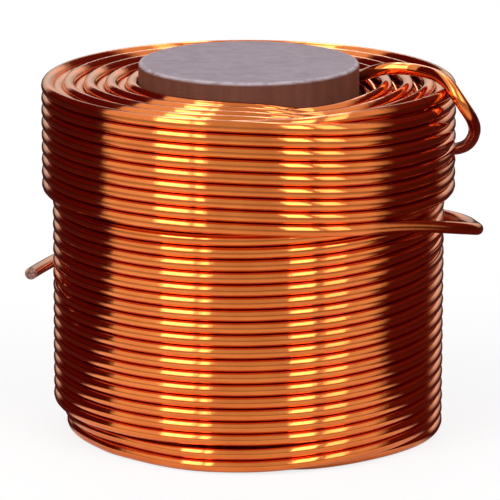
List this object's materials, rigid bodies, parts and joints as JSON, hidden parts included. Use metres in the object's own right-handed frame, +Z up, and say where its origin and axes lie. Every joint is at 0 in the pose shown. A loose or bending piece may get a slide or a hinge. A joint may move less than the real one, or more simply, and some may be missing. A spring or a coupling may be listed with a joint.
{
  "type": "iron core inductor",
  "caption": "Inductor with a round rod core inside a self-supporting multilayer coil of thick enamelled copper wire, both wire ends left free to connect.",
  "frame": {"origin": "middle of the base that the part stands on, on the core's axis", "axes": "+Z up the core's axis, away from the base; -Y is the front, where the outer layer's wire leaves the coil; +X is the side that the inner wire end hangs down"},
  "size_m": [0.052, 0.0493, 0.0422],
  "materials": {
    "core": "matt grey pressed iron powder rod with a worn, lighter rim",
    "enamelled_wire": "bright copper wire under glossy clear red-orange enamel"
  },
  "bodies": {
    "root": {"core": "core", "coil": "enamelled_wire"}
  },
  "joints": []
}
